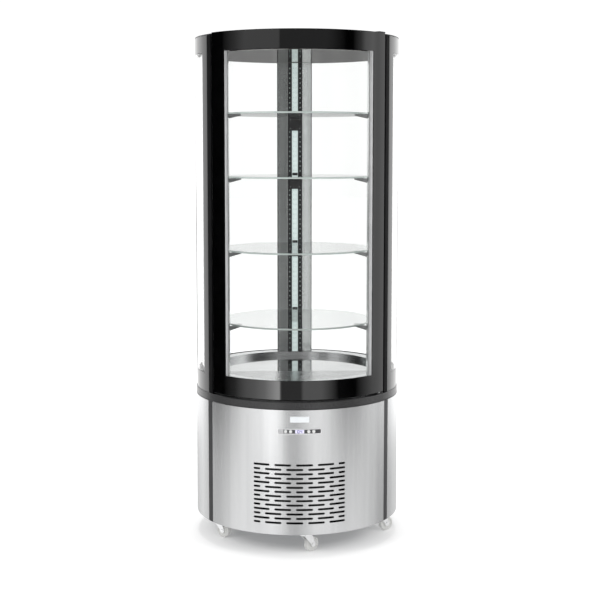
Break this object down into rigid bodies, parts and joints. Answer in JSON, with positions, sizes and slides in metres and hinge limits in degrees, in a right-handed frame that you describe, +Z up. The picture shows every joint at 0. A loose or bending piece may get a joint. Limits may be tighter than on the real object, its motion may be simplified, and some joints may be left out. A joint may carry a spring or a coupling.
{
  "type": "refrigerated display case",
  "caption": "Round upright refrigerated display case with a curved glass door, round glass shelves, a louvred steel base and castors.",
  "frame": {"origin": "on the floor, under the centre of the round case", "axes": "+Z up along the case's axis, -Y towards the door and the controls, +X to the viewer's right"},
  "size_m": [0.7, 0.7033, 1.7065],
  "materials": {
    "brushed_steel": "vertical brushed stainless steel, satin",
    "polished_steel": "bright annealed stainless sheet, nearly mirror",
    "insulated_rim": "polished stainless skin over a foamed core",
    "insulated_liner": "stainless liner over a foamed core",
    "zinc_steel": "zinc-plated steel",
    "black_painted": "satin black powder coat",
    "ring_black": "gloss black moulded ring",
    "black_cover": "black anodised aluminium strip",
    "upright_aluminium": "natural anodised aluminium extrusion",
    "printed_glass": "clear curved glass with a black printed border",
    "clear_glass": "clear curved glass",
    "shelf_glass": "clear toughened glass with polished green edges",
    "spacer_black": "black spacer and edge seal",
    "gasket_grey": "light grey flexible seal",
    "hinge_steel": "black plate with a bright steel pin",
    "light_cover": "frosted diffuser, cold white light",
    "bracket_grey": "dark grey enamelled steel",
    "bracket_black": "black enamelled steel",
    "castor_fork": "bright plated pressed steel",
    "castor_wheel": "light grey nylon wheel",
    "compressor_black": "black enamel",
    "fins_aluminium": "bare aluminium fins",
    "fan_plastic": "black moulded plastic",
    "control_black": "dark grey plastic bezel",
    "button_grey": "light grey moulded caps"
  },
  "bodies": {
    "cabinet": {"base_ring": "ring_black", "ceiling_panel": "insulated_rim", "chassis": "zinc_steel", "compressor": "compressor_black", "condenser": "fins_aluminium", "condenser_fan_motor": "zinc_steel", "control_panel": "control_black", "deck_rim": "insulated_rim", "evaporator": "fins_aluminium", "evaporator_fan_motor": "zinc_steel", "evaporator_well": "insulated_liner", "front_floor_plate": "brushed_steel", "left_base_panel": "brushed_steel", "left_base_trim": "black_painted", "left_inner_glass": "clear_glass", "left_outer_glass": "printed_glass", "left_shelf_support": "bracket_grey", "left_upright": "upright_aluminium", "left_upright_cover": "black_cover", "louvred_front_panel": "brushed_steel", "lower_hinge": "hinge_steel", "rear_base_trim": "black_painted", "rear_column": "upright_aluminium", "rear_column_cover": "black_cover", "rear_floor_plate": "polished_steel", "rear_light_strip": "light_cover", "rear_shelf_support": "bracket_black", "right_base_panel": "brushed_steel", "right_base_trim": "black_painted", "right_inner_glass": "clear_glass", "right_outer_glass": "printed_glass", "right_shelf_support": "bracket_grey", "right_upright": "upright_aluminium", "right_upright_cover": "black_cover", "shelf_1": "shelf_glass", "shelf_2": "shelf_glass", "shelf_3": "shelf_glass", "shelf_4": "shelf_glass", "top_lid": "black_painted", "upper_hinge": "hinge_steel"},
    "door": {"door_outer_glass": "printed_glass", "door_inner_glass": "clear_glass", "door_edge_frame": "spacer_black", "door_gasket": "gasket_grey"},
    "condenser_fan_rotor": {"condenser_fan": "fan_plastic"},
    "evaporator_fan_rotor": {"evaporator_fan": "fan_plastic"},
    "castor_1": {"castor_fork_1": "castor_fork"},
    "wheel_1": {"castor_wheel_1": "castor_wheel"},
    "castor_2": {"castor_fork_2": "castor_fork"},
    "wheel_2": {"castor_wheel_2": "castor_wheel"},
    "castor_3": {"castor_fork_3": "castor_fork"},
    "wheel_3": {"castor_wheel_3": "castor_wheel"},
    "castor_4": {"castor_fork_4": "castor_fork"},
    "wheel_4": {"castor_wheel_4": "castor_wheel"},
    "castor_5": {"castor_fork_5": "castor_fork"},
    "wheel_5": {"castor_wheel_5": "castor_wheel"},
    "push_button_1": {"button_1": "button_grey"},
    "push_button_2": {"button_2": "button_grey"},
    "push_button_3": {"button_3": "button_grey"},
    "push_button_4": {"button_4": "button_grey"}
  },
  "joints": [
    {"name": "door_hinge", "type": "hinge", "parent": "cabinet", "child": "door", "pos_m": [0.26655, -0.20456, 1.1114], "axis": [0, 0, 1], "range_deg": [0, 105]},
    {"name": "castor_swivel_1", "type": "hinge", "parent": "cabinet", "child": "castor_1", "pos_m": [0.02058, -0.29428, 0.06], "axis": [0, 0, 1], "continuous": true},
    {"name": "wheel_spin_1", "type": "hinge", "parent": "castor_1", "child": "wheel_1", "pos_m": [0.04028, -0.27889, 0.025], "axis": [-0.6157, 0.788, 0], "continuous": true},
    {"name": "castor_swivel_2", "type": "hinge", "parent": "cabinet", "child": "castor_2", "pos_m": [0.28624, -0.07137, 0.06], "axis": [0, 0, 1], "continuous": true},
    {"name": "wheel_spin_2", "type": "hinge", "parent": "castor_2", "child": "wheel_2", "pos_m": [0.30831, -0.05963, 0.025], "axis": [-0.4695, 0.8829, 0], "continuous": true},
    {"name": "castor_swivel_3", "type": "hinge", "parent": "cabinet", "child": "castor_3", "pos_m": [0.15633, 0.25017, 0.06], "axis": [0, 0, 1], "continuous": true},
    {"name": "wheel_spin_3", "type": "hinge", "parent": "castor_3", "child": "wheel_3", "pos_m": [0.15199, 0.27479, 0.025], "axis": [-0.9848, -0.1736, 0], "continuous": true},
    {"name": "castor_swivel_4", "type": "hinge", "parent": "cabinet", "child": "castor_4", "pos_m": [-0.18962, 0.22598, 0.06], "axis": [0, 0, 1], "continuous": true},
    {"name": "wheel_spin_4", "type": "hinge", "parent": "castor_4", "child": "wheel_4", "pos_m": [-0.21228, 0.21542, 0.025], "axis": [0.4226, -0.9063, 0], "continuous": true},
    {"name": "castor_swivel_5", "type": "hinge", "parent": "cabinet", "child": "castor_5", "pos_m": [-0.27352, -0.11051, 0.06], "axis": [0, 0, 1], "continuous": true},
    {"name": "wheel_spin_5", "type": "hinge", "parent": "castor_5", "child": "wheel_5", "pos_m": [-0.25304, -0.12485, 0.025], "axis": [0.5736, 0.8192, 0], "continuous": true},
    {"name": "button_press_1", "type": "slide", "parent": "cabinet", "child": "push_button_1", "axis": [0.1296, 0.9916, 0], "range_m": [0, 0.0015], "stiffness_N_per_m": 400, "springref_m": -0.0005},
    {"name": "button_press_2", "type": "slide", "parent": "cabinet", "child": "push_button_2", "axis": [0.0839, 0.9965, 0], "range_m": [0, 0.0015], "stiffness_N_per_m": 400, "springref_m": -0.0005},
    {"name": "button_press_3", "type": "slide", "parent": "cabinet", "child": "push_button_3", "axis": [-0.0839, 0.9965, 0], "range_m": [0, 0.0015], "stiffness_N_per_m": 400, "springref_m": -0.0005},
    {"name": "button_press_4", "type": "slide", "parent": "cabinet", "child": "push_button_4", "axis": [-0.1296, 0.9916, 0], "range_m": [0, 0.0015], "stiffness_N_per_m": 400, "springref_m": -0.0005},
    {"name": "condenser_fan_spin", "type": "hinge", "parent": "cabinet", "child": "condenser_fan_rotor", "pos_m": [0, -0.2077, 0.2043], "axis": [0, 1, 0], "continuous": true},
    {"name": "evaporator_fan_spin", "type": "hinge", "parent": "cabinet", "child": "evaporator_fan_rotor", "pos_m": [0, -0.085, 0.4919], "axis": [0, 0, 1], "continuous": true}
  ]
}
